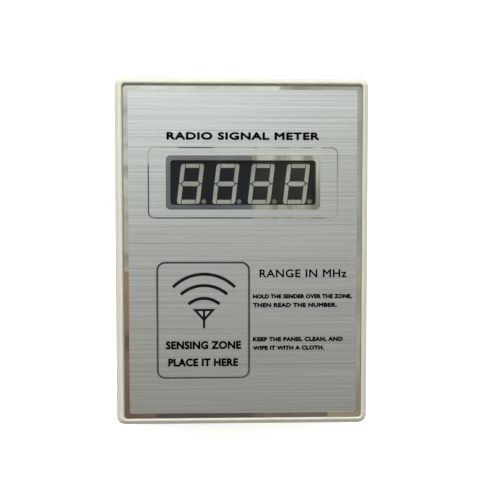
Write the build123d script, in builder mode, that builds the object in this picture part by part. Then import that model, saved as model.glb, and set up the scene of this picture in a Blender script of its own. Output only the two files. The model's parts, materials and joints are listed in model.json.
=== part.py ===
"""Desk-top RF frequency counter: a two-shell plastic case with a mirrored, brushed front panel,
a four-digit LED display, the circuit behind it, a battery bay with a sliding door, a rocker switch
and a DC power jack.  Millimetres, +Z out of the front panel, +Y towards the display end,
origin on the table under the middle of the case."""
import os
from math import cos, radians, sin, tan

from build123d import *

# ---------------------------------------------------------------- driving dimensions
case_w, case_l = 90.6, 124.4          # outline of the case, X and Y
corner_r = 3.0                        # plan radius of its four corners
foot_stand = 1.5                      # how far the rubber feet hold the case off the table
case_top = 34.0                       # crest of the rim
split_z = 16.0                        # where the two shells meet
wall = 2.2                            # side walls and rear floor
rim_slope_w, rim_slope_h = 1.45, 1.0   # the rim falls away outwards
rim_fillet, floor_fillet = 0.5, 1.5    # outer edges, front and rear
seam_chamfer = 0.3

panel_w, panel_l = 85.15, 119.15      # front panel
panel_x, panel_y = 0.43, -0.42        # it sits a little low and to the right in its recess
plate_t, film_t, track_t = 1.5, 0.15, 0.05
recess_w, recess_l, recess_r = 85.75, 119.95, 1.2
recess_x, recess_y = 0.32, -0.12
rim_stand = 0.6                       # the rim stands this far above the panel
inner_chamfer = 0.4

window_w, window_h, window_r = 52.0, 15.9, 1.1
window_x, window_y = panel_x + 0.02, panel_y + 25.39
display_x, display_y = panel_x + 0.17, panel_y + 24.99
digit_pitch, digit_h, digit_w = 12.7, 14.3, 8.2
display_w, display_h, display_t = 52.4, 19.0, 8.0

board_w, board_l, board_t = 78.0, 76.0, 1.6
board_y = 14.0

battery_w, battery_d, battery_t = 46.4, 26.5, 17.5
battery_x, battery_y, battery_z = 4.6, -45.45, 12.65
clip_x = battery_x - battery_w / 2 - 3.05
lead_levels = (battery_z, battery_z + 3.4)
lead_hole_r = 0.75
buzzer_spot = (26.0, 28.0)

boss_x, boss_y = 39.6, 56.5           # case screws, one in each corner
post_x, post_y = 35.5, 34.5           # board screws, about the board's centre

# ---------------------------------------------------------------- levels that follow
film_top = case_top - rim_stand
plate_top = film_top - film_t
recess_z = plate_top - plate_t        # floor of the panel recess
front_inner_z = recess_z - 2.25       # inside of the front wall
floor_z = foot_stand + wall           # inside of the rear floor
display_top = recess_z - 0.05
board_top = display_top - display_t
board_bottom = board_top - board_t
inner_w, inner_l, inner_r = case_w - 2 * wall, case_l - 2 * wall, corner_r - wall
end_y = case_l / 2                    # outer face of each end wall

corner_spots = [(x, y) for x in (-boss_x, boss_x) for y in (-boss_y, boss_y)]
post_spots = [(x, board_y + y) for x in (-post_x, post_x) for y in (-post_y, post_y)]


def finish(part, name):
    """Labels a finished piece and writes it to its own STEP file."""
    part.label = name
    export_step(part, f"parts/{name}.step")


def facing_end(y):
    """Sketch plane on an end wall: sketch x is world X, sketch y is world Z, normal +Y."""
    return Plane(origin=(0, y, 0), x_dir=(-1, 0, 0), z_dir=(0, 1, 0))


def tube_along(points, bend, radius):
    """A round wire along straight runs joined by tangent arcs."""
    with BuildPart() as wire:
        with BuildLine() as route:
            FilletPolyline(*points, radius=bend)
        with BuildSketch(Plane(origin=route.line @ 0, z_dir=route.line % 0)):
            Circle(radius)
        sweep()
    return wire.part


os.makedirs("parts", exist_ok=True)

# ---------------------------------------------------------------- front shell
window_hole_w, window_hole_h = 53.6, 20.0   # opening the display stands in
boss_r, screw_r = 3.6, 1.5
post_r, post_pilot_r = 2.5, 1.0
groove_out, groove_in = case_w / 2 - 0.7, case_w / 2 - 1.9  # half widths of the tongue's groove
groove_depth = 1.7
antenna_x, antenna_y = panel_x - 14.53, -25.0
antenna_w, antenna_l, antenna_t = 28.0, 38.0, 1.0
antenna_top = front_inner_z - 2.0
antenna_hole_y = 16.0
antenna_posts = [(antenna_x, antenna_y + y) for y in (-antenna_hole_y, antenna_hole_y)]

with BuildPart() as front_shell:
    with BuildSketch(Plane.XY.offset(split_z)):
        RectangleRounded(case_w, case_l, corner_r)
    extrude(amount=case_top - split_z)
    crest = front_shell.faces().sort_by(Axis.Z)[-1]
    chamfer(crest.outer_wire().edges(), rim_slope_w, rim_slope_h, reference=crest)
    fillet(front_shell.edges().group_by(Axis.Z)[-3], rim_fillet)
    chamfer(front_shell.faces().sort_by(Axis.Z)[0].outer_wire().edges(), seam_chamfer)
    with BuildSketch(Plane.XY.offset(recess_z)):
        with Locations((recess_x, recess_y)):
            RectangleRounded(recess_w, recess_l, recess_r)
    extrude(amount=case_top - recess_z, mode=Mode.SUBTRACT)
    chamfer(front_shell.faces().sort_by(Axis.Z)[-1].inner_wires()[0].edges(), inner_chamfer)
    with BuildSketch(Plane.XY.offset(split_z)):
        RectangleRounded(inner_w, inner_l, inner_r)
    extrude(amount=front_inner_z - split_z, mode=Mode.SUBTRACT)
    # corner bosses, board posts and antenna posts hang from the front wall
    with BuildSketch(Plane.XY.offset(front_inner_z)):
        with Locations(*corner_spots):
            Circle(boss_r)
    extrude(amount=split_z - front_inner_z)
    with BuildSketch(Plane.XY.offset(front_inner_z)):
        with Locations(*post_spots):
            Circle(post_r)
    extrude(amount=board_top - front_inner_z)
    with BuildSketch(Plane.XY.offset(front_inner_z)):
        with Locations(*antenna_posts):
            Circle(post_r)
    extrude(amount=antenna_top - front_inner_z)
    # pilot holes for the screws
    with BuildSketch(Plane.XY.offset(split_z)):
        with Locations(*corner_spots):
            Circle(screw_r)
    extrude(amount=9.0, mode=Mode.SUBTRACT)
    with BuildSketch(Plane.XY.offset(board_top)):
        with Locations(*post_spots):
            Circle(post_pilot_r)
    extrude(amount=5.0, mode=Mode.SUBTRACT)
    with BuildSketch(Plane.XY.offset(antenna_top)):
        with Locations(*antenna_posts):
            Circle(post_pilot_r)
    extrude(amount=3.0, mode=Mode.SUBTRACT)
    # opening for the display, and the groove for the rear shell's tongue
    with BuildSketch(Plane.XY.offset(front_inner_z)):
        with Locations((window_x, display_y)):
            RectangleRounded(window_hole_w, window_hole_h, 1.0)
    extrude(amount=case_top - front_inner_z, mode=Mode.SUBTRACT)
    with BuildSketch(Plane.XY.offset(split_z)):
        RectangleRounded(2 * groove_out, case_l - case_w + 2 * groove_out, 2.3)
        RectangleRounded(2 * groove_in, case_l - case_w + 2 * groove_in, 1.1, mode=Mode.SUBTRACT)
    extrude(amount=groove_depth, mode=Mode.SUBTRACT)
finish(front_shell.part, "front_shell")

# ---------------------------------------------------------------- rear shell
tongue_out, tongue_in, tongue_h = case_w / 2 - 0.8, case_w / 2 - 1.8, 1.5
well_r, well_top, tube_r, screw_clear_r = 3.0, 11.5, 4.0, 1.7
bay_in_x, bay_out_x = 28.5, 31.0      # battery bay, half widths
bay_end, bay_front = -59.2, -31.7     # its inner faces along Y
bay_ceiling, bay_skin = 21.9, 1.2
door_in = -30.6                       # inner end of the battery door
door_gap = 0.2
door_half_w = 28.3
rail_low, rail_high, rail_reach = 2.3, 3.6, 1.3
foot_r, foot_sink = 4.0, 0.5
foot_x, foot_y = 36.2, 44.0
foot_spots = [(x, y) for x in (-foot_x, foot_x) for y in (-foot_y, foot_y)]
pocket_half_w, pocket_low, pocket_high, pocket_depth = 26.0, 3.2, 14.8, 3.0
pocket_y = end_y - pocket_depth       # floor of the connector pocket
inlet_z = 9.0                         # switch and jack sit at this height
switch_x, jack_x = -14.0, 18.0
switch_hole_w, switch_hole_h = 13.4, 8.8
jack_thread_r = 3.9

with BuildPart() as rear_shell:
    with BuildSketch(Plane.XY.offset(foot_stand)):
        RectangleRounded(case_w, case_l, corner_r)
    extrude(amount=split_z - foot_stand)
    fillet(rear_shell.faces().sort_by(Axis.Z)[0].edges(), floor_fillet)
    chamfer(rear_shell.faces().sort_by(Axis.Z)[-1].edges(), seam_chamfer)
    with BuildSketch(Plane.XY.offset(floor_z)):
        RectangleRounded(inner_w, inner_l, inner_r)
    extrude(amount=split_z - floor_z, mode=Mode.SUBTRACT)
    with BuildSketch(Plane.XY.offset(split_z)):
        RectangleRounded(2 * tongue_out, case_l - case_w + 2 * tongue_out, 2.2)
        RectangleRounded(2 * tongue_in, case_l - case_w + 2 * tongue_in, 1.2, mode=Mode.SUBTRACT)
    extrude(amount=tongue_h)
    # screw tubes
    with BuildSketch(Plane.XY.offset(floor_z)):
        with Locations(*corner_spots):
            Circle(tube_r)
    extrude(amount=split_z - floor_z - 0.2)
    # wall behind the connector pocket
    with BuildSketch(Plane.XY.offset(floor_z)):
        with Locations((0, pocket_y - wall / 2 + 0.7)):
            Rectangle(2 * (pocket_half_w + wall), wall + 1.4)
    extrude(amount=split_z - floor_z - 0.2)
    # battery bay
    with BuildSketch(Plane.XY.offset(floor_z)):
        with Locations((0, (bay_front + 1.5 - inner_l / 2) / 2)):
            Rectangle(2 * bay_out_x, bay_front + 1.5 + inner_l / 2)
    extrude(amount=bay_ceiling + bay_skin - floor_z)
    with BuildSketch(Plane.XY.offset(foot_stand)):
        with Locations((0, (bay_end + bay_front) / 2)):
            Rectangle(2 * bay_in_x, bay_front - bay_end)
    extrude(amount=bay_ceiling - foot_stand, mode=Mode.SUBTRACT)
    # opening for the door, with a groove down each side for its rails
    with BuildSketch(Plane.XY.offset(foot_stand)):
        with Locations((0, (door_in + door_gap - end_y) / 2)):
            Rectangle(2 * (door_half_w + door_gap), door_in + door_gap + end_y)
    extrude(amount=floor_z - foot_stand, mode=Mode.SUBTRACT)
    with BuildSketch(Plane.XY.offset(rail_low)):
        with Locations((0, (door_in + door_gap - end_y) / 2)):
            Rectangle(2 * (door_half_w + door_gap + rail_reach), door_in + door_gap + end_y)
    extrude(amount=rail_high - rail_low, mode=Mode.SUBTRACT)
    # two holes that let the battery leads out of the bay
    with BuildSketch(facing_end(bay_front - 0.5)):
        with Locations(*[(-clip_x, z) for z in lead_levels]):
            Circle(lead_hole_r)
    extrude(amount=3.0, mode=Mode.SUBTRACT)
    # sound holes under the buzzer
    with BuildSketch(Plane.XY.offset(foot_stand)):
        with Locations(buzzer_spot):
            Circle(0.6)
            with PolarLocations(2.6, 6):
                Circle(0.6)
    extrude(amount=wall, mode=Mode.SUBTRACT)
    # screw wells and feet seats
    with BuildSketch(Plane.XY.offset(foot_stand)):
        with Locations(*corner_spots):
            Circle(screw_clear_r)
    extrude(amount=split_z - foot_stand, mode=Mode.SUBTRACT)
    with BuildSketch(Plane.XY.offset(foot_stand)):
        with Locations(*corner_spots):
            Circle(well_r)
    extrude(amount=well_top - foot_stand, mode=Mode.SUBTRACT)
    with BuildSketch(Plane.XY.offset(foot_stand)):
        with Locations(*foot_spots):
            Circle(foot_r + 0.1)
    extrude(amount=foot_sink, mode=Mode.SUBTRACT)
    # connector pocket with its two holes
    with BuildSketch(Plane.XY.offset(pocket_low)):
        with Locations((0, pocket_y + pocket_depth / 2)):
            Rectangle(2 * pocket_half_w, pocket_depth)
    extrude(amount=pocket_high - pocket_low, mode=Mode.SUBTRACT)
    with BuildSketch(facing_end(pocket_y)):
        with Locations((-switch_x, inlet_z)):
            Rectangle(switch_hole_w, switch_hole_h)
        with Locations((-jack_x, inlet_z)):
            Circle(jack_thread_r + 0.1)
    extrude(amount=-2 * wall, mode=Mode.SUBTRACT)
finish(rear_shell.part, "rear_shell")

# ---------------------------------------------------------------- panel plate, film and ink
ring_w, ring_h, ring_r = 55.3, 19.3, 1.6
frame_w, frame_h, frame_r, frame_line = 68.15, 25.6, 2.4, 0.52
frame_y = window_y - 0.11
sense_w, sense_h, sense_r, sense_line = 33.65, 42.45, 3.2, 0.74
sense_x, sense_y = panel_x - 14.38, panel_y - 24.11
field_w, field_l, field_r = 81.85, 116.1, 1.0
field_x, field_y = panel_x - 0.04, panel_y + 0.22

with BuildPart() as panel_mirror_plate:
    with BuildSketch(Plane.XY.offset(recess_z)):
        with Locations((panel_x, panel_y)):
            RectangleRounded(panel_w, panel_l, 1.0)
        with Locations((window_x, window_y)):
            RectangleRounded(window_w, window_h, window_r, mode=Mode.SUBTRACT)
    extrude(amount=plate_t)
finish(panel_mirror_plate.part, "panel_mirror_plate")

# three arcs over an antenna symbol, inlaid in the film inside the sensing frame
mark_x, mark_y = sense_x + 0.25, sense_y + 12.29
arc_line, mark_line = 1.14, 0.82
arc_chords = ((11.12, -0.27, 4.7), (8.33, -2.86, 3.2), (5.58, -6.38, 2.09))
aerial_half_w, aerial_top, aerial_vee, aerial_foot = 3.22, -8.48, -12.06, -15.05

with BuildSketch() as mark:
    for half, level, rise in arc_chords:
        with BuildLine() as arc_path:
            ThreePointArc((-half, level), (0, level + rise), (half, level))
        trace(arc_path.line, line_width=arc_line)
    with BuildSketch(mode=Mode.PRIVATE) as aerial:
        Polygon((-aerial_half_w, aerial_top), (aerial_half_w, aerial_top), (0, aerial_vee), align=None)
        offset(amount=mark_line / 2, kind=Kind.INTERSECTION)
        offset(amount=-mark_line, kind=Kind.INTERSECTION, mode=Mode.SUBTRACT)
        with Locations((0, (aerial_top + aerial_foot) / 2)):
            Rectangle(mark_line, aerial_top - aerial_foot)
    add(aerial.sketch)

with BuildPart() as panel_graphics:
    with BuildSketch(Plane(origin=(mark_x, mark_y, plate_top))):
        add(mark.sketch)
    extrude(amount=film_t)
finish(panel_graphics.part, "panel_graphics")

with BuildPart() as panel_brushed_film:
    with BuildSketch(Plane.XY.offset(plate_top)):
        with Locations((field_x, field_y)):
            RectangleRounded(field_w, field_l, field_r)
        with Locations((window_x, frame_y)):
            RectangleRounded(frame_w, frame_h, frame_r, mode=Mode.SUBTRACT)
            RectangleRounded(frame_w - 2 * frame_line, frame_h - 2 * frame_line, frame_r - frame_line)
        with Locations((window_x, window_y)):
            RectangleRounded(ring_w, ring_h, ring_r, mode=Mode.SUBTRACT)
        with Locations((sense_x, sense_y)):
            RectangleRounded(sense_w, sense_h, sense_r, mode=Mode.SUBTRACT)
            RectangleRounded(sense_w - 2 * sense_line, sense_h - 2 * sense_line, sense_r - sense_line)
    extrude(amount=film_t)
    add(panel_graphics.part, mode=Mode.SUBTRACT)
finish(panel_brushed_film.part, "panel_brushed_film")

with BuildPart() as display_lens:
    with BuildSketch(Plane.XY.offset(recess_z)):
        with Locations((window_x, window_y)):
            RectangleRounded(window_w - 0.1, window_h - 0.1, window_r - 0.05)
    extrude(amount=plate_t - 0.05)
finish(display_lens.part, "display_lens")

# ---------------------------------------------------------------- four-digit LED display
segment_t, segment_gap, bar_t = 1.42, 0.27, 1.64
slant = tan(radians(6.7))
outer_round = 0.95
segment_depth = 0.25
point_r = 0.82
point_dx = 5.6


def upright(side, end):
    """Outline of one of the four vertical segments: side -1 left / 1 right, end -1 lower / 1 upper."""
    w, h = digit_w / 2, digit_h / 2
    turn = [radians(a) for a in (0, 30, 60, 90)]
    corner = [(w - outer_round * (1 - cos(a)), h - outer_round * (1 - sin(a))) for a in turn]
    outline = [(w, 0.2), *corner, (w - segment_t, h), (w - segment_t, 1.04), (w - 0.55, 0.2)]
    return [(side * u, end * v) for u, v in outline]


def digit_outlines():
    """The seven segments of one digit, leaning to the right."""
    w, h = digit_w / 2, digit_h / 2
    bar = w - segment_t - segment_gap
    outlines = [upright(side, end) for side in (-1, 1) for end in (-1, 1)]
    outlines.append([(-bar, h), (bar, h), (bar, h - segment_t), (-bar, h - segment_t)])
    outlines.append([(-bar, -h), (bar, -h), (bar, segment_t - h), (-bar, segment_t - h)])
    tip, flat = w - 0.88, w - 0.88 - bar_t / 2
    outlines.append([(-tip, 0), (-flat, bar_t / 2), (flat, bar_t / 2), (tip, 0),
                     (flat, -bar_t / 2), (-flat, -bar_t / 2)])
    return [[(u + v * slant, v) for u, v in outline] for outline in outlines]


digit_spots = [(display_x + (i - 1.5) * digit_pitch, display_y) for i in range(4)]
point_spots = [(x + point_dx - digit_h / 2 * slant, y - digit_h / 2 + point_r) for x, y in digit_spots]
pin_columns = [display_x + (i - 2.5) * 2.54 for i in range(6)]
pin_spots = [(x, display_y + y) for x in pin_columns for y in (-7.62, 7.62)]
pin_r, pin_drop = 0.3, 1.2            # round leads, and how far they stand through the board

with BuildSketch(Plane.XY.offset(display_top)) as segment_sketch:
    with Locations(*digit_spots):
        for outline in digit_outlines():
            Polygon(*outline, align=None)
with BuildSketch(Plane.XY.offset(display_top)) as point_sketch:
    with Locations(*point_spots):
        Circle(point_r)

with BuildPart() as display_body:
    with BuildSketch(Plane.XY.offset(board_top)):
        with Locations((display_x, display_y)):
            Rectangle(display_w, display_h)
    extrude(amount=display_t)
    extrude(segment_sketch.sketch, amount=-segment_depth, mode=Mode.SUBTRACT)
    extrude(point_sketch.sketch, amount=-segment_depth, mode=Mode.SUBTRACT)
finish(display_body.part, "display_body")

with BuildPart() as display_segments:
    extrude(segment_sketch.sketch, amount=-segment_depth)
finish(display_segments.part, "display_segments")

with BuildPart() as display_points:
    extrude(point_sketch.sketch, amount=-segment_depth)
finish(display_points.part, "display_points")

with BuildPart() as display_pins:
    with BuildSketch(Plane.XY.offset(board_top)):
        with Locations(*pin_spots):
            Circle(pin_r)
    extrude(amount=-board_t - pin_drop)
finish(display_pins.part, "display_pins")

# ---------------------------------------------------------------- parts on the main board
chip_x, chip_y = 18.0, 0.0            # microcontroller, 18 legs
chip_l, chip_w, chip_t, chip_lift = 22.9, 6.4, 3.3, 0.6
leg_pitch, leg_out, leg_w, leg_t = 2.54, 3.81, 0.5, 0.25
rf_spots = [(-19.5, -18.0), (-9.5, -18.0)]
rf_l, rf_w, rf_t, rf_pitch = 4.9, 3.9, 1.5, 1.27
driver_spots = [(x, 9.0) for x, y in digit_spots]
driver_l, driver_w, driver_t, driver_pitch = 2.9, 1.4, 1.0, 1.9
crystal_x, crystal_y = 18.0, -10.0
crystal_l, crystal_w, crystal_t = 10.6, 4.2, 3.5
resistor_spots = [(display_x + (i - 3.5) * 3.2, 42.0) for i in range(8)]
resistor_r, resistor_l, resistor_reach = 1.1, 6.0, 5.0
ceramic_spots = [(30.5, -9.0), (4.5, -9.0), (4.5, -15.0), (30.5, -15.0)]
ceramic_r, ceramic_t, ceramic_lift, ceramic_pin = 2.4, 2.0, 0.4, 1.27
can_spots = [(-27.0, 28.0), (-27.0, 19.0)]
can_r, can_h, can_pin = 3.15, 11.0, 1.25
buzzer_r, buzzer_h, buzzer_pin = 6.0, 8.5, 3.8
regulator_x, regulator_y = -17.0, 28.0
regulator_w, regulator_l, regulator_t, tab_l, tab_t = 10.2, 9.0, 4.4, 6.4, 1.3
lead_r = 0.3

crystal_pins = [(crystal_x + x, crystal_y) for x in (-2.45, 2.45)]
resistor_pins = [(x, y + s * resistor_reach) for x, y in resistor_spots for s in (-1, 1)]
ceramic_pins = [(x + s * ceramic_pin, y) for x, y in ceramic_spots for s in (-1, 1)]
can_pins = [(x + s * can_pin, y) for x, y in can_spots for s in (-1, 1)]
buzzer_pins = [(buzzer_spot[0] + s * buzzer_pin, buzzer_spot[1]) for s in (-1, 1)]
regulator_pins = [(regulator_x + i * 2.54, regulator_y - regulator_l / 2 - 3.0) for i in (-1, 0, 1)]
chip_columns = [chip_x + (i - 4) * leg_pitch for i in range(9)]
chip_pins = [(x, chip_y + s * leg_out) for x in chip_columns for s in (-1, 1)]
header_x, header_y = antenna_x + 9.0, -9.5
header_pins = [(header_x + x, header_y) for x in (-1.27, 1.27)]
drilled = (pin_spots + crystal_pins + resistor_pins + ceramic_pins + can_pins + buzzer_pins
           + regulator_pins + chip_pins + header_pins)

with BuildPart() as main_board:
    with BuildSketch(Plane.XY.offset(board_bottom)):
        with Locations((0, board_y)):
            Rectangle(board_w, board_l)
        with Locations(*drilled):
            Circle(pin_r + 0.05, mode=Mode.SUBTRACT)
        with Locations(*post_spots):
            Circle(1.2, mode=Mode.SUBTRACT)
    extrude(amount=board_t)
finish(main_board.part, "main_board")

with BuildPart() as microcontroller:
    with BuildSketch(Plane.XY.offset(board_top + chip_lift)):
        with Locations((chip_x, chip_y)):
            Rectangle(chip_l, chip_w)
    extrude(amount=chip_t)
    with BuildSketch(Plane.XY.offset(board_top + chip_lift + chip_t)):
        with Locations((chip_x - chip_l / 2, chip_y)):
            Circle(1.2)
    extrude(amount=-0.5, mode=Mode.SUBTRACT)
finish(microcontroller.part, "microcontroller")

shoulder = board_top + chip_lift + chip_t / 2
with BuildPart() as microcontroller_legs:
    with BuildSketch(Plane.XY.offset(shoulder)):
        with Locations(*chip_pins):
            Rectangle(leg_w, leg_t)
    extrude(amount=board_bottom - pin_drop - shoulder)
    with BuildSketch(Plane.XY.offset(shoulder)):
        with Locations(*[(x, chip_y + s * (chip_w / 2 + leg_out + leg_t / 2) / 2)
                         for x in chip_columns for s in (-1, 1)]):
            Rectangle(leg_w * 2, leg_out + leg_t / 2 - chip_w / 2)
    extrude(amount=leg_t)
finish(microcontroller_legs.part, "microcontroller_legs")

with BuildPart() as surface_chips:
    with BuildSketch(Plane.XY.offset(board_top + 0.15)):
        with Locations(*rf_spots):
            Rectangle(rf_l, rf_w)
    extrude(amount=rf_t)
    with BuildSketch(Plane.XY.offset(board_top + 0.1)):
        with Locations(*driver_spots):
            Rectangle(driver_l, driver_w)
    extrude(amount=driver_t)
finish(surface_chips.part, "surface_chips")


def gull_leads(spots, offsets, half_body, height, width):
    """Flat leads bent down to the board, on one or both long sides of small chips."""
    thick = 0.2
    profile = [(half_body, height), (half_body, height + thick), (half_body + 0.5, height + thick),
               (half_body + 0.5, thick), (half_body + 1.1, thick), (half_body + 1.1, 0),
               (half_body + 0.3, 0), (half_body + 0.3, height)]
    with BuildPart() as leads:
        for cx, cy in spots:
            for dx, side in offsets:
                with BuildSketch(Plane.YZ.offset(cx + dx - width / 2)):
                    Polygon(*[(cy + side * u, board_top + v) for u, v in profile], align=None)
                extrude(amount=width)
    return leads.part


rf_offsets = [((i - 1.5) * rf_pitch, side) for i in range(4) for side in (-1, 1)]
driver_offsets = [(-driver_pitch / 2, -1), (driver_pitch / 2, -1), (0, 1)]
with BuildPart() as surface_chip_leads:
    add(gull_leads(rf_spots, rf_offsets, rf_w / 2, 0.8, 0.4))
    add(gull_leads(driver_spots, driver_offsets, driver_w / 2, 0.5, 0.4))
finish(surface_chip_leads.part, "surface_chip_leads")

with BuildPart() as crystal:
    with BuildSketch(Plane.XY.offset(board_top)):
        with Locations((crystal_x, crystal_y)):
            SlotOverall(crystal_l + 0.8, crystal_w + 0.8)
    extrude(amount=0.4)
    with BuildSketch(Plane.XY.offset(board_top)):
        with Locations((crystal_x, crystal_y)):
            SlotOverall(crystal_l, crystal_w)
    extrude(amount=crystal_t)
    fillet(crystal.faces().sort_by(Axis.Z)[-1].edges(), 0.4)
finish(crystal.part, "crystal")

with BuildPart() as resistors:
    with BuildSketch(Plane.XZ.offset(-resistor_spots[0][1])):
        with Locations(*[(x, board_top + resistor_r + 0.1) for x, y in resistor_spots]):
            Circle(resistor_r - 0.15)
    extrude(amount=resistor_l / 2, both=True)
    for end in (-1, 1):
        with BuildSketch(Plane.XZ.offset(-resistor_spots[0][1] + end * (resistor_l / 2 - 0.75))):
            with Locations(*[(x, board_top + resistor_r + 0.1) for x, y in resistor_spots]):
                Circle(resistor_r)
        extrude(amount=0.75, both=True)
finish(resistors.part, "resistors")

lead_level = board_top + resistor_r + 0.1
with BuildPart() as resistor_leads:
    for cx, cy in resistor_spots:
        for side in (-1, 1):
            out = cy + side * resistor_reach
            add(tube_along([(cx, cy + side * resistor_l / 2, lead_level), (cx, out, lead_level),
                            (cx, out, board_bottom - pin_drop)], 0.7, lead_r))
finish(resistor_leads.part, "resistor_leads")

with BuildPart() as ceramic_capacitors:
    for cx, cy in ceramic_spots:
        with BuildSketch(Plane.XZ.offset(-cy)):
            with Locations((cx, board_top + ceramic_lift + ceramic_r)):
                Circle(ceramic_r)
        extrude(amount=ceramic_t / 2, both=True)
    fillet(ceramic_capacitors.edges().filter_by(GeomType.CIRCLE), 0.6)
finish(ceramic_capacitors.part, "ceramic_capacitors")

ceramic_leg_top = board_top + ceramic_lift + ceramic_r - (ceramic_r ** 2 - ceramic_pin ** 2) ** 0.5 + 0.4
with BuildPart() as ceramic_legs:
    with BuildSketch(Plane.XY.offset(ceramic_leg_top)):
        with Locations(*ceramic_pins):
            Circle(lead_r - 0.05)
    extrude(amount=board_bottom - pin_drop - ceramic_leg_top)
    add(ceramic_capacitors.part, mode=Mode.SUBTRACT)
finish(ceramic_legs.part, "ceramic_legs")

with BuildPart() as electrolytic_capacitors:
    with BuildSketch(Plane.XY.offset(board_bottom)):
        with Locations(*can_spots):
            Circle(can_r)
    extrude(amount=-can_h)
    fillet(electrolytic_capacitors.faces().sort_by(Axis.Z)[:len(can_spots)].edges(), 0.5)
finish(electrolytic_capacitors.part, "electrolytic_capacitors")

with BuildPart() as buzzer:
    with BuildSketch(Plane.XY.offset(board_bottom)):
        with Locations(buzzer_spot):
            Circle(buzzer_r)
    extrude(amount=-buzzer_h)
    chamfer(buzzer.faces().sort_by(Axis.Z)[0].edges(), 0.4)
    with BuildSketch(Plane.XY.offset(board_bottom - buzzer_h)):
        with Locations(buzzer_spot):
            Circle(1.1)
    extrude(amount=3.0, mode=Mode.SUBTRACT)
finish(buzzer.part, "buzzer")

with BuildPart() as voltage_regulator:
    with BuildSketch(Plane.XY.offset(board_bottom - tab_t)):
        with Locations((regulator_x, regulator_y)):
            Rectangle(regulator_w, regulator_l)
    extrude(amount=-(regulator_t - tab_t))
    chamfer(voltage_regulator.faces().sort_by(Axis.Z)[0].edges(), 0.3)
finish(voltage_regulator.part, "voltage_regulator")

with BuildPart() as regulator_tab:
    with BuildSketch(Plane.XY.offset(board_bottom)):
        with Locations((regulator_x, regulator_y + tab_l / 2)):
            Rectangle(regulator_w, regulator_l + tab_l)
        with Locations((regulator_x, regulator_y + regulator_l / 2 + tab_l / 2)):
            Circle(1.8, mode=Mode.SUBTRACT)
    extrude(amount=-tab_t)
finish(regulator_tab.part, "regulator_tab")

leg_level = board_bottom - tab_t - 1.2
with BuildPart() as bottom_leads:
    for x, y in regulator_pins:
        add(tube_along([(x, y + 3.0, leg_level), (x, y, leg_level), (x, y, board_top)], 0.8, lead_r))
    with BuildSketch(Plane.XY.offset(board_bottom)):
        with Locations(*(can_pins + buzzer_pins)):
            Circle(lead_r)
    extrude(amount=board_t)
    with BuildSketch(Plane.XY.offset(board_top)):
        with Locations(*crystal_pins):
            Circle(lead_r)
    extrude(amount=-board_t - pin_drop)
finish(bottom_leads.part, "component_leads")

# ---------------------------------------------------------------- antenna board
antenna_bottom = antenna_top - antenna_t
coil_out, coil_line, coil_gap, coil_turns = 24.0, 1.0, 0.8, 3

with BuildPart() as antenna_board:
    with BuildSketch(Plane.XY.offset(antenna_bottom)):
        with Locations((antenna_x, antenna_y)):
            RectangleRounded(antenna_w, antenna_l, 1.0)
        with Locations(*antenna_posts):
            Circle(1.2, mode=Mode.SUBTRACT)
        with Locations(*header_pins):
            Circle(pin_r + 0.05, mode=Mode.SUBTRACT)
    extrude(amount=antenna_t)
finish(antenna_board.part, "antenna_board")

with BuildPart() as antenna_coil:
    with BuildSketch(Plane.XY.offset(antenna_top)):
        with Locations((antenna_x, antenna_y)):
            for turn in range(coil_turns):
                side = coil_out - 2 * turn * (coil_line + coil_gap)
                RectangleRounded(side, side, 1.6)
                RectangleRounded(side - 2 * coil_line, side - 2 * coil_line, 0.8, mode=Mode.SUBTRACT)
            with Locations((0, -coil_out / 2 + coil_turns * (coil_line + coil_gap) / 2)):
                Rectangle(coil_line, coil_turns * (coil_line + coil_gap) - coil_gap)
    extrude(amount=track_t)
finish(antenna_coil.part, "antenna_coil")

with BuildPart() as antenna_header:
    with BuildSketch(Plane.XY.offset(board_top)):
        with Locations((header_x, header_y)):
            Rectangle(5.0, 2.4)
    extrude(amount=antenna_bottom - board_top)
finish(antenna_header.part, "antenna_header")

with BuildPart() as antenna_header_pins:
    with BuildSketch(Plane.XY.offset(board_top)):
        with Locations(*header_pins):
            Circle(pin_r)
    extrude(amount=-board_t - pin_drop)
    with BuildSketch(Plane.XY.offset(antenna_bottom)):
        with Locations(*header_pins):
            Circle(pin_r)
    extrude(amount=antenna_t + 0.8)
finish(antenna_header_pins.part, "antenna_header_pins")

# ---------------------------------------------------------------- power jack in the connector pocket
jack_back = pocket_y - wall
jack_front = pocket_y + 2.6
jack_r, jack_depth, bore_r, bore_end = 4.9, 11.0, 2.85, 50.5
jack_pin_r = 1.05
nut_flats, nut_t = 10.8, 1.9
lug_y = jack_back - jack_depth - 4.0
jack_lugs = [jack_x - 2.5, jack_x + 2.5]

with BuildPart() as dc_jack_body:
    with BuildSketch(facing_end(jack_back)):
        with Locations((-jack_x, inlet_z)):
            Circle(jack_r)
    extrude(amount=-jack_depth)
    with BuildSketch(facing_end(jack_back)):
        with Locations((-jack_x, inlet_z)):
            Circle(jack_thread_r)
    extrude(amount=jack_front - jack_back)
    chamfer(dc_jack_body.faces().sort_by(Axis.Y)[-1].edges(), 0.3)
    with BuildSketch(facing_end(jack_front)):
        with Locations((-jack_x, inlet_z)):
            Circle(bore_r)
    extrude(amount=bore_end - jack_front, mode=Mode.SUBTRACT)
finish(dc_jack_body.part, "dc_jack_body")

with BuildPart() as dc_jack_pin:
    with BuildSketch(facing_end(bore_end)):
        with Locations((-jack_x, inlet_z)):
            Circle(jack_pin_r)
    extrude(amount=jack_front - 1.2 - bore_end)
    fillet(dc_jack_pin.faces().sort_by(Axis.Y)[-1].edges(), 0.6)
finish(dc_jack_pin.part, "dc_jack_pin")

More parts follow.
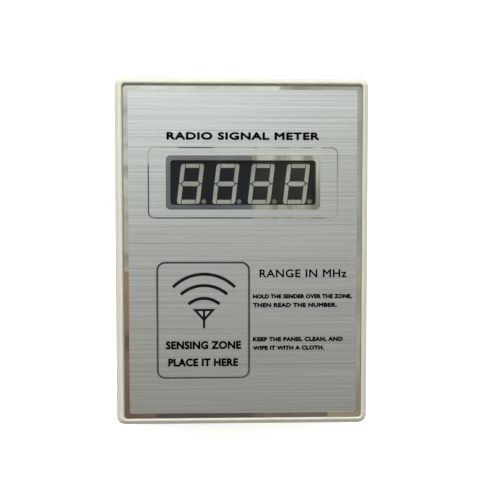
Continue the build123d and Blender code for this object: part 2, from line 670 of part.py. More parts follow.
with BuildPart() as dc_jack_nut:
    with BuildSketch(facing_end(pocket_y)):
        with Locations((-jack_x, inlet_z)):
            RegularPolygon(nut_flats / 2, 6, major_radius=False)
            Circle(jack_thread_r + 0.02, mode=Mode.SUBTRACT)
    extrude(amount=nut_t)
    chamfer(dc_jack_nut.faces().sort_by(Axis.Y)[-1].outer_wire().edges(), 0.3)
finish(dc_jack_nut.part, "dc_jack_nut")

with BuildPart() as dc_jack_lugs:
    with BuildSketch(facing_end(jack_back - jack_depth)):
        with Locations(*[(-x, inlet_z) for x in jack_lugs]):
            Rectangle(2.0, 0.5)
    extrude(amount=-4.0)
finish(dc_jack_lugs.part, "dc_jack_lugs")

# ---------------------------------------------------------------- rocker switch
bezel_w, bezel_h, bezel_t = 15.4, 10.6, 1.2
housing_w, housing_h, housing_depth = 13.2, 8.6, 10.5
well_half_w, well_half_h, well_depth = 5.5, 3.4, 2.8
pivot_y = pocket_y - 0.2
rocker_half_w, rocker_half_h, rocker_edge, rocker_dip = 5.0, 3.2, 1.9, 1.0
rocker_keel_w, rocker_keel, rocker_tilt = 3.2, 2.2, 10.0
pivot_r, pivot_reach = 0.8, 0.6
switch_lugs = [switch_x - 3.5, switch_x + 3.5]

with BuildPart() as switch_housing:
    with BuildSketch(facing_end(pocket_y)):
        with Locations((-switch_x, inlet_z)):
            RectangleRounded(bezel_w, bezel_h, 0.8)
    extrude(amount=bezel_t)
    chamfer(switch_housing.faces().sort_by(Axis.Y)[-1].edges(), 0.35)
    with BuildSketch(facing_end(pocket_y)):
        with Locations((-switch_x, inlet_z)):
            Rectangle(housing_w, housing_h)
    extrude(amount=-housing_depth)
    with BuildSketch(facing_end(pocket_y + bezel_t)):
        with Locations((-switch_x, inlet_z)):
            Rectangle(2 * well_half_w, 2 * well_half_h)
    extrude(amount=-bezel_t - well_depth, mode=Mode.SUBTRACT)
    with BuildSketch(Plane.XY.offset(inlet_z)):
        with Locations((switch_x, pivot_y)):
            Circle(pivot_r + 0.05)
    extrude(amount=well_half_h + pivot_reach, both=True, mode=Mode.SUBTRACT)
finish(switch_housing.part, "switch_housing")

rocker_outline = [(-rocker_half_w, rocker_edge), (0, rocker_dip), (rocker_half_w, rocker_edge),
                  (rocker_half_w, 0), (rocker_keel_w, 0.6 - rocker_keel), (0, -rocker_keel),
                  (-rocker_keel_w, 0.6 - rocker_keel), (-rocker_half_w, 0)]
with BuildPart() as power_rocker:
    with BuildSketch(Plane(origin=(switch_x, pivot_y, inlet_z)).rotated((0, 0, rocker_tilt))):
        Polygon(*rocker_outline, align=None)
    extrude(amount=rocker_half_h, both=True)
    fillet(power_rocker.edges().filter_by(Axis.Z), 0.35)
    with BuildSketch(Plane.XY.offset(inlet_z)):
        with Locations((switch_x, pivot_y)):
            Circle(pivot_r)
    extrude(amount=rocker_half_h + pivot_reach, both=True)
finish(power_rocker.part, "power_rocker")

switch_back = pocket_y - housing_depth
with BuildPart() as switch_lug_pair:
    with BuildSketch(facing_end(switch_back)):
        with Locations(*[(-x, inlet_z) for x in switch_lugs]):
            Rectangle(0.8, 3.2)
    extrude(amount=-4.5)
finish(switch_lug_pair.part, "switch_lugs")

# ---------------------------------------------------------------- wires to the board
wire_r, wire_bend = 0.65, 2.2


def wire_up(x, y, z, run):
    """A wire that leaves (x, y, z) along Y for the given run and turns up to the board."""
    return tube_along([(x, y, z), (x, y + run, z), (x, y + run, board_bottom)], wire_bend, wire_r)


with BuildPart() as switch_wires:
    for x in switch_lugs:
        add(wire_up(x, switch_back - 4.5, inlet_z, -4.0))
finish(switch_wires.part, "switch_wires")

with BuildPart() as jack_wires:
    for x in jack_lugs:
        add(wire_up(x, lug_y, inlet_z, -4.0))
finish(jack_wires.part, "jack_wires")

clip_w, clip_h, clip_t = 23.0, 11.0, 4.6
clip_edge = battery_y + clip_w / 2
with BuildPart() as battery_wire_red:
    add(wire_up(clip_x, clip_edge, lead_levels[0], -16.0 - clip_edge))
finish(battery_wire_red.part, "battery_wire_red")

with BuildPart() as battery_wire_black:
    add(wire_up(clip_x, clip_edge, lead_levels[1], -20.0 - clip_edge))
finish(battery_wire_black.part, "battery_wire_black")

# ---------------------------------------------------------------- battery, snap clip, pad
battery_end = battery_x - battery_w / 2
stud_y, stud_r, stud_h, crown_r, crown_h = 6.35, 2.75, 2.6, 3.9, 2.4

with BuildPart() as battery:
    with BuildSketch(Plane.YZ.offset(battery_end)):
        with Locations((battery_y, battery_z)):
            RectangleRounded(battery_d, battery_t, 2.0)
    extrude(amount=battery_w)
    fillet(battery.faces().filter_by(Plane.YZ).edges(), 0.5)
finish(battery.part, "battery")

with BuildPart() as battery_terminals:
    with BuildSketch(Plane.YZ.offset(battery_end)):
        with Locations((battery_y - stud_y, battery_z)):
            Circle(stud_r)
    extrude(amount=-stud_h)
    fillet(battery_terminals.faces().sort_by(Axis.X)[0].edges(), 0.4)
    with BuildSketch(Plane.YZ.offset(battery_end)):
        with Locations((battery_y + stud_y, battery_z)):
            RegularPolygon(crown_r, 6)
            Circle(stud_r, mode=Mode.SUBTRACT)
    extrude(amount=-crown_h)
finish(battery_terminals.part, "battery_terminals")

with BuildPart() as battery_clip:
    with BuildSketch(Plane.YZ.offset(clip_x - clip_t / 2)):
        with Locations((battery_y, battery_z)):
            RectangleRounded(clip_w, clip_h, 2.0)
    extrude(amount=clip_t)
    with BuildSketch(Plane.YZ.offset(clip_x + clip_t / 2)):
        with Locations((battery_y - stud_y, battery_z), (battery_y + stud_y, battery_z)):
            Circle(crown_r + 0.15)
    extrude(amount=-3.0, mode=Mode.SUBTRACT)
finish(battery_clip.part, "battery_clip")

pad_t = bay_ceiling - battery_z - battery_t / 2
with BuildPart() as battery_pad:
    with BuildSketch(Plane.XY.offset(bay_ceiling)):
        with Locations((battery_x, battery_y)):
            Rectangle(36.0, 20.0)
    extrude(amount=-pad_t)
finish(battery_pad.part, "battery_pad")

door_top = floor_z - 0.2
with BuildPart() as battery_door:
    with BuildSketch(Plane.XY.offset(foot_stand)):
        with Locations((0, (door_in - end_y) / 2)):
            Rectangle(2 * door_half_w, door_in + end_y)
    extrude(amount=door_top - foot_stand)
    fillet(battery_door.edges().group_by(Axis.Z)[0].sort_by(Axis.Y)[0], floor_fillet)
    with BuildSketch(Plane.XY.offset(rail_low + 0.2)):
        with Locations((0, (door_in - end_y) / 2 + 1.5)):
            Rectangle(2 * (door_half_w + rail_reach), door_in + end_y - 3.0)
    extrude(amount=door_top - rail_low - 0.2)
    # grip ribs cut across the outside
    with BuildSketch(Plane.XY.offset(foot_stand)):
        for i in range(5):
            with Locations((0, -52.0 + i * 2.4)):
                Rectangle(20.0 - i * 3.2, 1.0)
    extrude(amount=0.6, mode=Mode.SUBTRACT)
finish(battery_door.part, "battery_door")

# ---------------------------------------------------------------- screws and feet
cross_w, cross_l, cross_depth = 0.7, 3.2, 1.2


def screws(spots, seat, head_r, head_t, shank_r, shank_l):
    """Cross-head screws driven upwards, their heads under the level called seat."""
    with BuildPart() as group:
        with BuildSketch(Plane.XY.offset(seat)):
            with Locations(*spots):
                Circle(head_r)
        extrude(amount=-head_t)
        fillet(group.faces().sort_by(Axis.Z)[:len(spots)].edges(), head_t * 0.4)
        with BuildSketch(Plane.XY.offset(seat)):
            with Locations(*spots):
                Circle(shank_r)
        extrude(amount=shank_l)
        with BuildSketch(Plane.XY.offset(seat - head_t)):
            with Locations(*spots):
                Rectangle(cross_w, cross_l * head_r / 2.8)
                Rectangle(cross_l * head_r / 2.8, cross_w)
        extrude(amount=cross_depth * head_t / 2.2, mode=Mode.SUBTRACT)
    return group.part


finish(screws(corner_spots, well_top, 2.8, 2.2, screw_r - 0.02, 12.0), "case_screws")
finish(screws(post_spots, board_bottom, 2.2, 1.6, post_pilot_r - 0.02, 6.0), "board_screws")
finish(screws(antenna_posts, antenna_bottom, 2.0, 1.3, post_pilot_r - 0.02, 3.6), "antenna_screws")

with BuildPart() as rubber_feet:
    with BuildSketch(Plane.XY):
        with Locations(*foot_spots):
            Circle(foot_r)
    extrude(amount=foot_stand + foot_sink)
    fillet(rubber_feet.faces().sort_by(Axis.Z)[:4].edges(), 0.5)
finish(rubber_feet.part, "rubber_feet")
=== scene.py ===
import json
import math

import bpy
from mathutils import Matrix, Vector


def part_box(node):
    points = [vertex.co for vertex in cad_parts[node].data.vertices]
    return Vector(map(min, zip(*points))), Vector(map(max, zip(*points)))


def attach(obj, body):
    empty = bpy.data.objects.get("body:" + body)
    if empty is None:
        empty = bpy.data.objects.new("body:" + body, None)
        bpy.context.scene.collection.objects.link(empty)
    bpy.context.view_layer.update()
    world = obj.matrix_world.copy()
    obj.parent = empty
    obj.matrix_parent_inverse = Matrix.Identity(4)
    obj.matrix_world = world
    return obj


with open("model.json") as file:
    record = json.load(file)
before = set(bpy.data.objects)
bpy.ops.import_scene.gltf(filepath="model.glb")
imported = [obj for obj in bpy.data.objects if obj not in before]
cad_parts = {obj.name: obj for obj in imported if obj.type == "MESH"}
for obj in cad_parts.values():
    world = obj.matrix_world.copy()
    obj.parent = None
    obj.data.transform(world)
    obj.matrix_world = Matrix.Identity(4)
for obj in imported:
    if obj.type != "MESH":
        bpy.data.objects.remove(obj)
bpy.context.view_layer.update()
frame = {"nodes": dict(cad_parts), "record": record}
MM = 0.001

film_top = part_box("panel_brushed_film")[1].z
ink_height = 0.03 * MM
case_low, case_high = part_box("front_shell")
centre = (case_low + case_high) / 2


# ------------------------------------------------------------------ node helpers
def material(name):
    """A new material with its Principled shader."""
    m = bpy.data.materials.new(name)
    m.use_nodes = True
    return m, m.node_tree, m.node_tree.nodes["Principled BSDF"]


def coordinates(tree, scale=(1, 1, 1), rotation=(0, 0, 0)):
    """Object coordinates, turned by rotation and stretched by scale."""
    source = tree.nodes.new("ShaderNodeTexCoord")
    mapping = tree.nodes.new("ShaderNodeMapping")
    mapping.inputs["Scale"].default_value = scale
    mapping.inputs["Rotation"].default_value = rotation
    tree.links.new(source.outputs["Object"], mapping.inputs["Vector"])
    return mapping.outputs["Vector"]


def noise(tree, vector, scale, detail=3.0, roughness=0.5):
    n = tree.nodes.new("ShaderNodeTexNoise")
    n.inputs["Scale"].default_value = scale
    n.inputs["Detail"].default_value = detail
    n.inputs["Roughness"].default_value = roughness
    tree.links.new(vector, n.inputs["Vector"])
    return n.outputs["Fac"]


def ramp(tree, value, stops, mode="LINEAR"):
    """A ramp through (position, colour) stops; a single number is a grey."""
    r = tree.nodes.new("ShaderNodeValToRGB")
    r.color_ramp.interpolation = mode
    while len(r.color_ramp.elements) < len(stops):
        r.color_ramp.elements.new(0.5)
    for element, (position, colour) in zip(r.color_ramp.elements, stops):
        element.position = position
        rgb = colour if isinstance(colour, tuple) else (colour,) * 3
        element.color = (*rgb, 1)
    tree.links.new(value, r.inputs["Fac"])
    return r.outputs["Color"]


def along_y(tree, vector, south, north):
    """The vector's Y as 0 at south and 1 at north."""
    split = tree.nodes.new("ShaderNodeSeparateXYZ")
    tree.links.new(vector, split.inputs["Vector"])
    span = tree.nodes.new("ShaderNodeMapRange")
    span.inputs["From Min"].default_value = south
    span.inputs["From Max"].default_value = north
    tree.links.new(split.outputs["Y"], span.inputs["Value"])
    return span.outputs["Result"]


def blend_colours(tree, factor, a, b, kind="MIX"):
    n = tree.nodes.new("ShaderNodeMix")
    n.data_type = "RGBA"
    n.blend_type = kind
    if isinstance(factor, float):
        n.inputs["Factor"].default_value = factor
    else:
        tree.links.new(factor, n.inputs["Factor"])
    tree.links.new(a, n.inputs["A"])
    tree.links.new(b, n.inputs["B"])
    return n.outputs["Result"]


def bump(tree, shader, height, strength, distance):
    n = tree.nodes.new("ShaderNodeBump")
    n.inputs["Strength"].default_value = strength
    n.inputs["Distance"].default_value = distance
    tree.links.new(height, n.inputs["Height"])
    tree.links.new(n.outputs["Normal"], shader.inputs["Normal"])


def shade(colour, factor):
    return tuple(min(1.0, c * factor) for c in colour)


def moulded(name, colour, rough=0.5, grain=2500.0, depth=0.00002, variation=0.08, specular=0.4):
    """Plastic, rubber or lacquer: slight mottling, a grained surface and uneven gloss."""
    m, tree, shader = material(name)
    at = coordinates(tree)
    mottle = noise(tree, at, 90.0, 4.0)
    tree.links.new(ramp(tree, mottle, [(0.3, shade(colour, 1 - variation)), (0.7, shade(colour, 1 + variation))]),
                   shader.inputs["Base Color"])
    fine = noise(tree, at, grain, 2.0)
    tree.links.new(ramp(tree, fine, [(0.25, rough * 0.88), (0.75, min(1.0, rough * 1.12))]),
                   shader.inputs["Roughness"])
    bump(tree, shader, fine, 0.35, depth)
    shader.inputs["Specular IOR Level"].default_value = specular
    return m


def metal(name, colour, rough=0.3, stretch=(1, 1, 1), grain=1500.0, variation=0.10, depth=0.00001):
    """Plated or drawn metal with faint drawing marks along the squeezed axis."""
    m, tree, shader = material(name)
    at = coordinates(tree, stretch)
    marks = noise(tree, at, grain, 3.0)
    tree.links.new(ramp(tree, marks, [(0.3, shade(colour, 1 - variation)), (0.7, shade(colour, 1 + variation))]),
                   shader.inputs["Base Color"])
    tree.links.new(ramp(tree, marks, [(0.3, rough * 0.8), (0.7, min(1.0, rough * 1.25))]),
                   shader.inputs["Roughness"])
    bump(tree, shader, marks, 0.3, depth)
    shader.inputs["Metallic"].default_value = 1.0
    return m


# ------------------------------------------------------------------ materials, one per slot of the record
def brushed_print():
    """Metallic print with fine streaks along X, a few of them darker."""
    m, tree, shader = material("brushed_print")
    hair = noise(tree, coordinates(tree, (14, 2700, 1)), 1.0, 1.0, 0.5)
    band = noise(tree, coordinates(tree, (2.2, 900, 1)), 1.0, 2.0, 0.6)
    scratch = noise(tree, coordinates(tree, (3.5, 2500, 1)), 1.0, 1.0, 0.5)
    base = ramp(tree, hair, [(0.30, (0.412, 0.424, 0.410)), (0.70, (0.540, 0.557, 0.541))])
    tint = ramp(tree, band, [(0.30, (0.88, 0.88, 0.88)), (0.62, (1.01, 1.01, 1.01))])
    base = blend_colours(tree, 1.0, base, tint, "MULTIPLY")
    lines = ramp(tree, scratch, [(0.30, (0.62, 0.62, 0.63)), (0.37, (1.0, 1.0, 1.0))])
    base = blend_colours(tree, 1.0, base, lines, "MULTIPLY")
    tree.links.new(base, shader.inputs["Base Color"])
    tree.links.new(ramp(tree, band, [(0.3, 0.40), (0.7, 0.47)]), shader.inputs["Roughness"])
    shader.inputs["Metallic"].default_value = 0.85
    bump(tree, shader, hair, 0.2, 0.00001)
    return m


def mirror_plate():
    """Mirror with the faint haze and smears of a handled surface."""
    m, tree, shader = material("mirror_plate")
    at = coordinates(tree)
    haze = noise(tree, at, 120.0, 4.0)
    tree.links.new(ramp(tree, haze, [(0.3, (0.80, 0.80, 0.78)), (0.7, (0.88, 0.88, 0.87))]),
                   shader.inputs["Base Color"])
    tree.links.new(ramp(tree, haze, [(0.35, 0.015), (0.75, 0.045)]), shader.inputs["Roughness"])
    shader.inputs["Metallic"].default_value = 1.0
    return m


def clear_lens():
    """Thin clear sheet with a weak, slightly smeared reflection on its outer faces; from inside it is clear."""
    m, tree, shader = material("clear_lens")
    tree.nodes.remove(shader)
    clear = tree.nodes.new("ShaderNodeBsdfTransparent")
    clear.inputs["Color"].default_value = (0.90, 0.92, 0.92, 1)
    gloss = tree.nodes.new("ShaderNodeBsdfGlossy")
    tree.links.new(ramp(tree, noise(tree, coordinates(tree), 60.0, 3.0), [(0.3, 0.02), (0.8, 0.09)]),
                   gloss.inputs["Roughness"])
    edge = tree.nodes.new("ShaderNodeFresnel")
    edge.inputs["IOR"].default_value = 1.6
    join = tree.nodes.new("ShaderNodeMixShader")
    tree.links.new(edge.outputs["Fac"], join.inputs["Fac"])
    tree.links.new(clear.outputs["BSDF"], join.inputs[1])
    tree.links.new(gloss.outputs["BSDF"], join.inputs[2])
    inside = tree.nodes.new("ShaderNodeMixShader")
    tree.links.new(tree.nodes.new("ShaderNodeNewGeometry").outputs["Backfacing"], inside.inputs["Fac"])
    tree.links.new(join.outputs["Shader"], inside.inputs[1])
    tree.links.new(clear.outputs["BSDF"], inside.inputs[2])
    tree.links.new(inside.outputs["Shader"], tree.nodes["Material Output"].inputs["Surface"])
    return m


def board_laminate():
    """Green solder mask with copper tracks showing through as lighter green lanes."""
    m, tree, shader = material("board_laminate")
    lanes = tree.nodes.new("ShaderNodeTexBrick")
    lanes.offset = 0.37
    lanes.inputs["Scale"].default_value = 260.0
    lanes.inputs["Mortar Size"].default_value = 0.018
    lanes.inputs["Color1"].default_value = (0.010, 0.115, 0.040, 1)
    lanes.inputs["Color2"].default_value = (0.016, 0.150, 0.055, 1)
    lanes.inputs["Mortar"].default_value = (0.045, 0.290, 0.110, 1)
    tree.links.new(coordinates(tree), lanes.inputs["Vector"])
    tree.links.new(lanes.outputs["Color"], shader.inputs["Base Color"])
    shader.inputs["Roughness"].default_value = 0.28
    bump(tree, shader, lanes.outputs["Fac"], 0.3, 0.00003)
    return m


def banded(name, colour, bands, rough=0.35, band_width=0.07):
    """Lacquered resistor bodies with colour bands across their length."""
    m, tree, shader = material(name)
    foot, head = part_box("resistors")
    stops = [(0.0, colour)]
    for position, band in bands:
        stops += [(position, band), (position + band_width, colour)]
    tree.links.new(ramp(tree, along_y(tree, coordinates(tree), foot.y, head.y), stops, "CONSTANT"),
                   shader.inputs["Base Color"])
    shader.inputs["Roughness"].default_value = rough
    return m


paints = {
    "case_plastic": moulded("case_plastic", (0.455, 0.450, 0.385), 0.42, 3000.0, 0.000015, 0.03, 0.5),
    "mirror_plate": mirror_plate(),
    "brushed_print": brushed_print(),
    "black_ink": moulded("black_ink", (0.004, 0.004, 0.0045), 0.6, 4000.0, 0.000004, 0.2, 0.06),
    "clear_lens": clear_lens(),
    "display_black": moulded("display_black", (0.004, 0.0045, 0.0055), 0.5, 3000.0, 0.000006, 0.25, 0.15),
    "segment_diffuser": moulded("segment_diffuser", (0.305, 0.285, 0.245), 0.55, 2500.0, 0.000004, 0.16),
    "point_diffuser": moulded("point_diffuser", (0.115, 0.112, 0.105), 0.5, 5000.0, 0.000004, 0.12),
    "tinned_lead": metal("tinned_lead", (0.68, 0.67, 0.64), 0.28, (1, 1, 0.2)),
    "board_laminate": board_laminate(),
    "copper_track": metal("copper_track", (0.72, 0.36, 0.18), 0.35),
    "chip_epoxy": moulded("chip_epoxy", (0.018, 0.018, 0.018), 0.6, 4000.0, 0.00001, 0.3),
    "crystal_can": metal("crystal_can", (0.72, 0.71, 0.68), 0.3, (0.1, 1, 1)),
    "resistor_coat": banded("resistor_coat", (0.55, 0.36, 0.18),
                            [(0.15, (0.35, 0.02, 0.01)), (0.33, (0.25, 0.02, 0.20)), (0.50, (0.04, 0.02, 0.01)),
                             (0.80, (0.55, 0.38, 0.05))]),
    "ceramic_coat": moulded("ceramic_coat", (0.60, 0.26, 0.06), 0.35, 1500.0, 0.00004, 0.12),
    "capacitor_sleeve": moulded("capacitor_sleeve", (0.018, 0.022, 0.085), 0.3, 1500.0, 0.00001, 0.15),
    "buzzer_case": moulded("buzzer_case", (0.020, 0.020, 0.020), 0.45, 3000.0, 0.00002, 0.2),
    "tab_metal": metal("tab_metal", (0.66, 0.66, 0.66), 0.35, (1, 0.1, 1)),
    "connector_black": moulded("connector_black", (0.020, 0.020, 0.021), 0.42, 3000.0, 0.00002, 0.2),
    "contact_metal": metal("contact_metal", (0.74, 0.72, 0.66), 0.22),
    "nut_plate": metal("nut_plate", (0.72, 0.72, 0.71), 0.16),
    "switch_black": moulded("switch_black", (0.020, 0.020, 0.021), 0.40, 3000.0, 0.00002, 0.2),
    "rocker_black": moulded("rocker_black", (0.028, 0.028, 0.029), 0.24, 1500.0, 0.00001, 0.2, 0.5),
    "wire_yellow": moulded("wire_yellow", (0.62, 0.42, 0.03), 0.45),
    "wire_blue": moulded("wire_blue", (0.03, 0.09, 0.42), 0.45),
    "wire_red": moulded("wire_red", (0.50, 0.02, 0.015), 0.45),
    "wire_black": moulded("wire_black", (0.018, 0.018, 0.018), 0.45),
    "battery_jacket": metal("battery_jacket", (0.10, 0.12, 0.17), 0.35, (0.2, 1, 1)),
    "foam_pad": moulded("foam_pad", (0.035, 0.035, 0.036), 0.95, 900.0, 0.0002, 0.3, 0.1),
    "screw_zinc": metal("screw_zinc", (0.62, 0.62, 0.60), 0.30),
    "foot_rubber": moulded("foot_rubber", (0.022, 0.022, 0.022), 0.8, 2500.0, 0.00003, 0.25, 0.2),
}
slot_of = {row["node"]: row["material_slot"] for row in frame["record"]["subparts"]}
for node, piece in frame["nodes"].items():
    piece.data.materials.clear()
    piece.data.materials.append(paints[slot_of[node]])


# ------------------------------------------------------------------ lettering printed on the film
bold_copies = 8  # copies of each letter, shifted round a small circle, that thicken its strokes


def lettering(name, words, left, right, base, cap, bold, spacing):
    """A line of raised ink letters fitted between left and right."""
    curve = bpy.data.curves.new(name, "FONT")
    curve.body = words
    curve.space_character = spacing
    curve.extrude = 0.5
    curve.resolution_u = 3
    draft = bpy.data.objects.new(name, curve)
    bpy.context.scene.collection.objects.link(draft)
    bpy.context.view_layer.update()
    mesh = bpy.data.meshes.new_from_object(draft.evaluated_get(bpy.context.evaluated_depsgraph_get()))
    bpy.data.objects.remove(draft)
    xs = [v.co.x for v in mesh.vertices]
    tall = max(v.co.y for v in mesh.vertices)
    across = (right - left - bold) / (max(xs) - min(xs))
    up = (cap - bold) / tall
    turns = [2 * math.pi * i / bold_copies for i in range(bold_copies)]
    shifts = [(bold * (1 + math.cos(a)) / 2, bold * (1 + math.sin(a)) / 2) for a in turns]
    points, faces = [], []
    for dx, dy in shifts:
        first = len(points)
        points += [((left + dx + (v.co.x - min(xs)) * across) * MM, (base + dy + v.co.y * up) * MM,
                    film_top + (v.co.z + 0.5) * ink_height) for v in mesh.vertices]
        faces += [tuple(first + i for i in p.vertices) for p in mesh.polygons]
    bpy.data.meshes.remove(mesh)
    bold_mesh = bpy.data.meshes.new(name)
    bold_mesh.from_pydata(points, [], faces)
    bold_mesh.materials.append(paints["black_ink"])
    piece = bpy.data.objects.new(name, bold_mesh)
    bpy.context.scene.collection.objects.link(piece)
    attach(piece, "case")


# name, words, left, right, base line, height of capitals, thickening (all in millimetres), letter spacing
letter_lines = (
    ("title_line", "RADIO SIGNAL METER", -26.85, 27.66, 40.12, 2.80, 0.42, 1.08),
    ("range_line", "RANGE IN MHz", 6.26, 37.74, -9.07, 2.95, 0.20, 1.08),
    ("sensing_line_1", "SENSING ZONE", -27.49, -0.34, -34.90, 2.95, 0.38, 1.04),
    ("sensing_line_2", "PLACE IT HERE", -26.63, -1.40, -41.17, 2.95, 0.38, 1.04),
    ("note_line_1", "HOLD THE SENDER OVER THE ZONE,", 3.87, 39.75, -16.72, 1.66, 0.31, 1.06),
    ("note_line_2", "THEN READ THE NUMBER.", 3.87, 34.34, -19.88, 1.66, 0.31, 1.06),
    ("note_line_3", "KEEP THE PANEL CLEAN, AND", 3.87, 36.52, -32.27, 1.66, 0.31, 1.06),
    ("note_line_4", "WIPE IT WITH A CLOTH.", 3.87, 29.74, -35.40, 1.66, 0.31, 1.06),
)
for line in letter_lines:
    lettering(*line)


# ------------------------------------------------------------------ floor, light and camera
def staged_sheet(name, west, south, east, north, z, paint):
    """A flat rectangle of the set, not of the object."""
    mesh = bpy.data.meshes.new(name)
    mesh.from_pydata([(west, south, z), (east, south, z), (east, north, z), (west, north, z)], [], [(0, 1, 2, 3)])
    mesh.materials.append(paint)
    piece = bpy.data.objects.new(name, mesh)
    bpy.context.scene.collection.objects.link(piece)
    return piece


def pale_floor():
    """A glowing pale floor, whose glow doesn't light the object."""
    reach = 3.0  # metres from the middle to each edge
    paint, tree, shader = material("studio_floor")
    mottle = noise(tree, coordinates(tree), 3.0)
    tree.links.new(ramp(tree, mottle, [(0.3, (0.90, 0.90, 0.90)), (0.7, (0.92, 0.92, 0.92))]),
                   shader.inputs["Base Color"])
    shader.inputs["Roughness"].default_value = 0.9
    shader.inputs["Specular IOR Level"].default_value = 0.1
    shader.inputs["Emission Color"].default_value = (1.0, 1.0, 1.0, 1)
    shader.inputs["Emission Strength"].default_value = 0.55
    floor = staged_sheet("studio_floor", -reach, -reach, reach, reach, 0, paint)
    floor.visible_diffuse = False


pale_floor()


card_height = 1.0  # metres from the panel to the ceiling card


def card(name, west, south, east, north, drop, stops, patch, stretch=(1, 1, 1), turn=0.0):
    """
    A glowing card over the panel that only reflections see, drop metres under the ceiling card. stops shade it
    from its south edge to its north edge. patch is the scale and tint of its darker patches.
    """
    paint, tree, shader = material(name)
    tree.nodes.remove(shader)
    glow = ramp(tree, along_y(tree, coordinates(tree), south, north), stops)
    size, dark = patch
    folds = coordinates(tree, stretch, (0, 0, turn))
    spots = ramp(tree, noise(tree, folds, size, 3.0), [(0.40, dark), (0.55, (1.0, 1.0, 1.0))])
    glow = blend_colours(tree, 1.0, glow, spots, "MULTIPLY")
    lamp = tree.nodes.new("ShaderNodeEmission")
    tree.links.new(glow, lamp.inputs["Color"])
    tree.links.new(lamp.outputs["Emission"], tree.nodes["Material Output"].inputs["Surface"])
    piece = staged_sheet(name, west, south, east, north, film_top + card_height - drop, paint)
    piece.visible_camera = False
    piece.visible_diffuse = False
    piece.visible_shadow = False
    piece.visible_transmission = False


card("ceiling", -1.2, -1.2, 1.2, 1.2, 0.0,
     [(0.0, (0.16, 0.14, 0.12)), (0.37, (0.19, 0.15, 0.13)), (0.45, (0.28, 0.27, 0.24)),
      (0.486, (0.38, 0.375, 0.32)), (0.505, (0.38, 0.385, 0.33)), (0.532, (0.50, 0.51, 0.45)),
      (0.572, (0.54, 0.58, 0.54)), (0.583, (0.80, 0.87, 0.80)), (0.66, (1.0, 1.04, 1.02)),
      (0.85, (0.75, 0.76, 0.75))],
     (28.0, (0.84, 0.83, 0.80)))
card("bright_window", -0.55, 0.36, 0.55, 0.86, 0.01,
     [(0.0, (4.4, 4.75, 4.8)), (0.25, (6.6, 7.15, 7.25)), (1.0, (6.0, 6.4, 6.5))],
     (7.0, (0.90, 0.90, 0.90)))
card("blinds", 0.046, -0.01, 0.159, 0.129, 0.025,
     [(0.0, (0.36, 0.36, 0.30)), (0.5, (0.46, 0.47, 0.40)), (1.0, (0.62, 0.64, 0.56))],
     (26.0, (0.55, 0.55, 0.50)), (2.4, 0.35, 1), 0.5)
card("brown_wall", -0.45, -0.50, -0.10, -0.085, 0.01,
     [(0.0, (0.13, 0.09, 0.075)), (0.55, (0.19, 0.125, 0.095)), (1.0, (0.32, 0.215, 0.165))],
     (30.0, (0.62, 0.60, 0.55)))
card("standing_figure", -0.105, -0.40, 0.045, 0.100, 0.02,
     [(0.0, (0.13, 0.11, 0.095)), (0.35, (0.085, 0.075, 0.07)), (0.7, (0.06, 0.068, 0.07)),
      (0.92, (0.17, 0.20, 0.215)), (1.0, (0.22, 0.23, 0.235))],
     (10.0, (0.86, 0.82, 0.80)))
card("shoulder", -0.135, 0.0, -0.104, 0.080, 0.02,
     [(0.0, (0.08, 0.088, 0.09)), (1.0, (0.13, 0.155, 0.165))],
     (10.0, (0.75, 0.72, 0.70)))
card("left_wall", -0.45, -0.084, -0.136, 0.165, 0.01,
     [(0.0, (0.42, 0.40, 0.33)), (0.3, (0.46, 0.445, 0.375)), (0.6, (0.60, 0.61, 0.53)),
      (1.0, (0.56, 0.60, 0.56))],
     (24.0, (0.66, 0.66, 0.60)), (0.6, 2.2, 1), 0.4)
card("head", -0.070, 0.099, -0.015, 0.130, 0.02,
     [(0.0, (0.19, 0.195, 0.20)), (1.0, (0.15, 0.15, 0.15))],
     (10.0, (0.75, 0.72, 0.70)))
card("olive_wall", 0.16, -0.42, 0.60, 0.131, 0.03,
     [(0.0, (0.30, 0.20, 0.145)), (0.25, (0.36, 0.30, 0.225)), (0.42, (0.42, 0.395, 0.31)),
      (0.8, (0.40, 0.40, 0.315)), (1.0, (0.38, 0.39, 0.32))],
     (11.0, (0.80, 0.80, 0.78)))
card("pale_wall", 0.085, 0.130, 0.60, 0.55, 0.03,
     [(0.0, (0.42, 0.43, 0.37)), (1.0, (0.46, 0.48, 0.43))],
     (30.0, (0.74, 0.74, 0.70)))


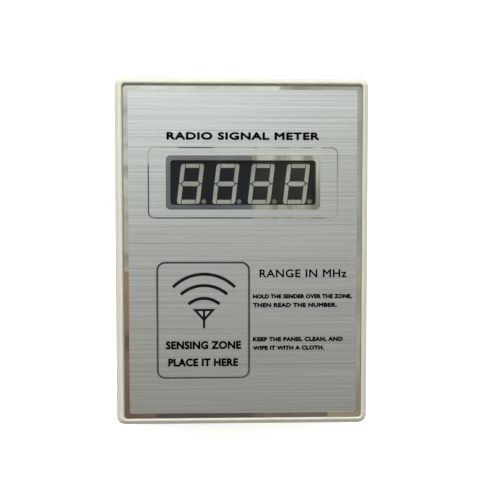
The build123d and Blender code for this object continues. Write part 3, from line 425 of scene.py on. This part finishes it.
def softbox(name, place, size, energy, colour=(1, 1, 1)):
    """A square area light aimed at the case, which reflections don't see."""
    data = bpy.data.lights.new(name, "AREA")
    data.shape = "SQUARE"
    data.size = size
    data.energy = energy
    data.color = colour
    piece = bpy.data.objects.new(name, data)
    piece.location = place
    piece.rotation_euler = (centre - piece.location).to_track_quat("-Z", "Y").to_euler()
    piece.visible_glossy = False
    bpy.context.scene.collection.objects.link(piece)


softbox("key_light", (-0.10, 0.40, 0.50), 0.30, 3.9, (1.0, 1.0, 0.98))
softbox("top_light", (0.1, 0.2, 1.3), 1.4, 4.0)


def gradient_world():
    """Surroundings that brighten from the south to the north, and that the camera sees as plain paper."""
    world = bpy.data.worlds.new("studio")
    world.use_nodes = True
    tree = world.node_tree
    surroundings = tree.nodes["Background"]
    directions = tree.nodes.new("ShaderNodeTexCoord").outputs["Generated"]
    glow = ramp(tree, along_y(tree, directions, -1.0, 1.0),
                [(0.0, (0.19, 0.155, 0.13)), (0.35, (0.33, 0.295, 0.265)), (0.6, (0.85, 0.86, 0.84)),
                 (1.0, (1.15, 1.16, 1.15))])
    tree.links.new(glow, surroundings.inputs["Color"])
    surroundings.inputs["Strength"].default_value = 1.0
    paper = tree.nodes.new("ShaderNodeBackground")
    paper.inputs["Color"].default_value = (0.93, 0.93, 0.93, 1)
    choice = tree.nodes.new("ShaderNodeMixShader")
    tree.links.new(tree.nodes.new("ShaderNodeLightPath").outputs["Is Camera Ray"], choice.inputs["Fac"])
    tree.links.new(surroundings.outputs["Background"], choice.inputs[1])
    tree.links.new(paper.outputs["Background"], choice.inputs[2])
    tree.links.new(choice.outputs["Shader"], tree.nodes["World Output"].inputs["Surface"])
    return world


bpy.context.scene.world = gradient_world()
bpy.context.scene.view_settings.view_transform = "Standard"
bpy.context.scene.view_settings.look = "None"


def overhead_camera():
    """The camera over the panel, a little to the north-west and nearly square to it."""
    data = bpy.data.cameras.new("camera")
    data.lens = 60
    data.sensor_width = 36
    data.clip_start = 0.01
    camera = bpy.data.objects.new("camera", data)
    camera.location = (-8.65 * MM, 16.42 * MM, 331.92 * MM)
    camera.rotation_euler = (math.radians(-2.983), math.radians(-2.205), 0)
    bpy.context.scene.collection.objects.link(camera)
    return camera


bpy.context.scene.camera = overhead_camera()
